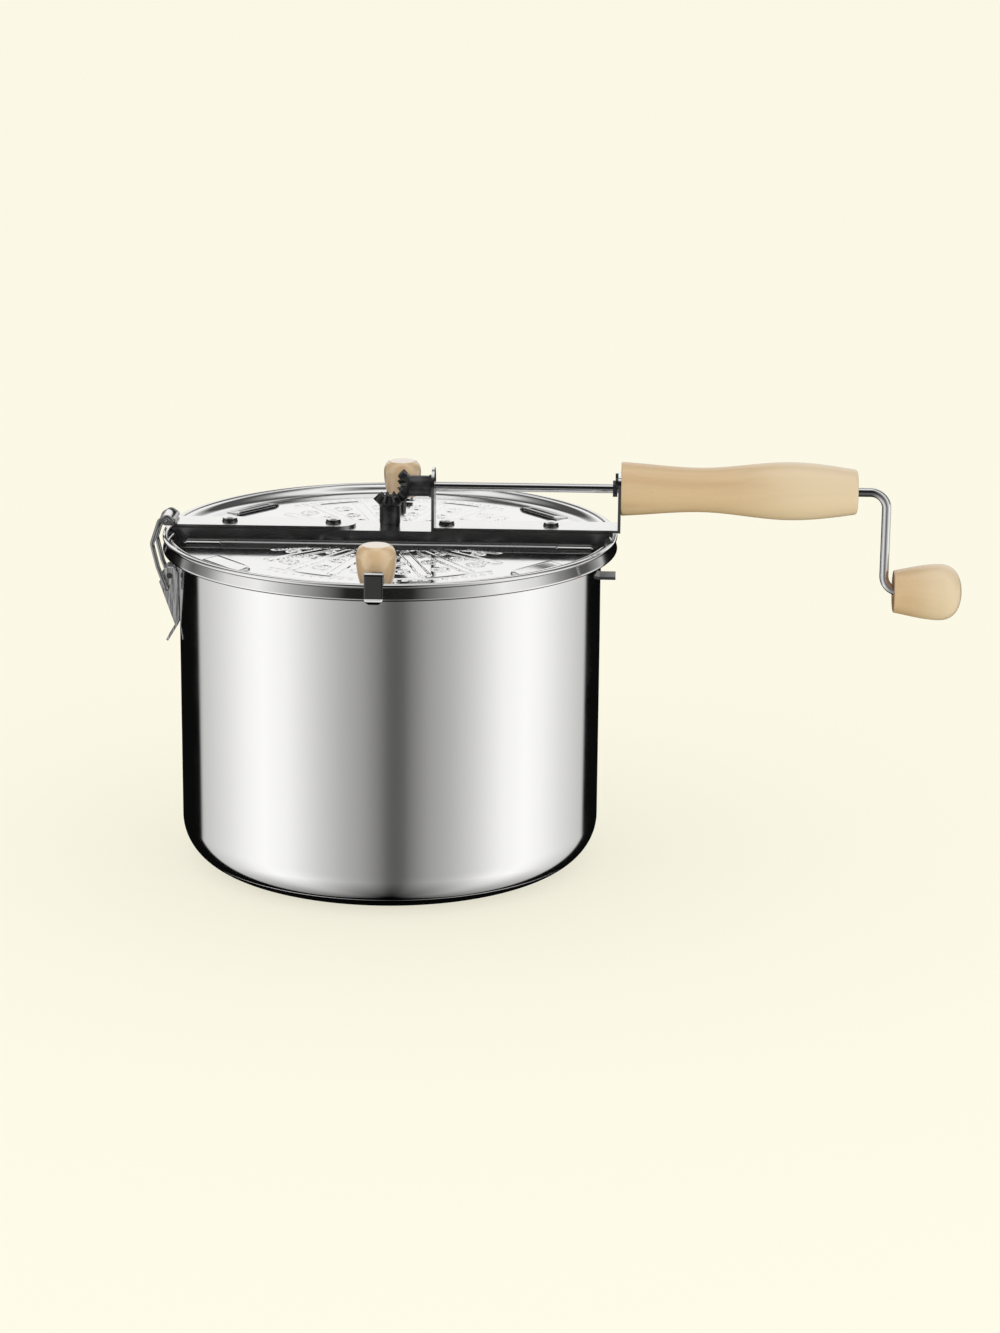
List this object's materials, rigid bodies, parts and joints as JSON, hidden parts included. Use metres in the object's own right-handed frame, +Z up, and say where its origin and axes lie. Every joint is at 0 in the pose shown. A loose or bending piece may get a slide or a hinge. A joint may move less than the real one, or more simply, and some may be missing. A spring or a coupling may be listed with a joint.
{
  "type": "stovetop popcorn popper",
  "caption": "Stovetop popcorn popper: steel pot with a split hinged lid, a turned wood handle and a hand crank that drives a stirring wire through bevel gears.",
  "frame": {"origin": "on the pot's axis, on the surface that the pot stands on", "axes": "+Z up the pot's axis, +X from the pot along the handle to the crank, -Y towards the front flap of the lid"},
  "size_m": [0.4275, 0.246, 0.2167],
  "materials": {
    "pot_steel": "polished",
    "core_aluminium": "rolled",
    "bar_steel": "polished",
    "lid_steel": "mirror polished and embossed",
    "latch_steel": "nickel plated",
    "spring_steel": "satin dark",
    "wire_steel": "bright drawn",
    "fastener_steel": "bright plated",
    "gear_iron": "oiled sintered iron",
    "beech": "turned and lacquered"
  },
  "bodies": {
    "pot": {"pot_shell": "pot_steel", "base_core": "core_aluminium", "base_cap": "pot_steel", "cross_bar": "bar_steel", "hook_leg": "bar_steel", "catch_strap": "bar_steel", "gear_bracket": "bar_steel", "strap_screws": "fastener_steel", "strap_nuts": "fastener_steel", "shaft_bush": "gear_iron", "front_hinge_pin": "fastener_steel", "rear_hinge_pin": "fastener_steel", "handle_grip": "beech", "handle_screws": "fastener_steel", "latch_bracket": "latch_steel", "latch_rivets": "fastener_steel", "lever_pin": "fastener_steel"},
    "crank": {"crank_rod": "wire_steel", "drive_gear": "gear_iron", "drive_gear_pin": "fastener_steel", "gear_washer": "fastener_steel", "rod_collar": "gear_iron", "knob_retainer": "fastener_steel"},
    "knob": {"crank_knob": "beech"},
    "stirrer": {"stir_shaft": "wire_steel", "stir_wire": "wire_steel", "driven_gear": "gear_iron", "driven_gear_pin": "fastener_steel", "shaft_clip": "fastener_steel"},
    "front_flap": {"front_lid": "lid_steel", "front_knob": "beech", "front_knob_screw": "fastener_steel", "front_clip": "spring_steel"},
    "rear_flap": {"rear_lid": "lid_steel", "rear_knob": "beech", "rear_knob_screw": "fastener_steel", "rear_clip": "spring_steel"},
    "lever": {"latch_lever": "latch_steel"},
    "bail": {"latch_bail": "wire_steel"}
  },
  "joints": [
    {"name": "front_lid_hinge", "type": "hinge", "parent": "pot", "child": "front_flap", "pos_m": [0, -0.0145, 0.1718], "axis": [-1, 0, 0], "range_deg": [0, 82]},
    {"name": "rear_lid_hinge", "type": "hinge", "parent": "pot", "child": "rear_flap", "pos_m": [0, 0.0145, 0.1718], "axis": [1, 0, 0], "range_deg": [0, 82]},
    {"name": "crank_spin", "type": "hinge", "parent": "pot", "child": "crank", "pos_m": [0.06, 0, 0.2016], "axis": [1, 0, 0], "continuous": true},
    {"name": "crank_knob_spin", "type": "hinge", "parent": "crank", "child": "knob", "pos_m": [0.28, 0, 0.1486], "axis": [1, 0, 0], "continuous": true},
    {"name": "stirrer_spin", "type": "hinge", "parent": "pot", "child": "stirrer", "pos_m": [0, 0, 0.178], "axis": [0, 0, 1], "continuous": true},
    {"name": "latch_lever_hinge", "type": "hinge", "parent": "pot", "child": "lever", "pos_m": [-0.1168, 0, 0.1525], "axis": [0, 1, 0], "range_deg": [0, 110]},
    {"name": "latch_bail_hinge", "type": "hinge", "parent": "lever", "child": "bail", "pos_m": [-0.1183, 0, 0.1455], "axis": [0, 1, 0], "range_deg": [-88, 0]}
  ],
  "couplings": [
    {"joint": "stirrer_spin", "follows": "crank_spin", "ratio": 1},
    {"joint": "latch_bail_hinge", "follows": "latch_lever_hinge", "ratio": -0.8}
  ]
}
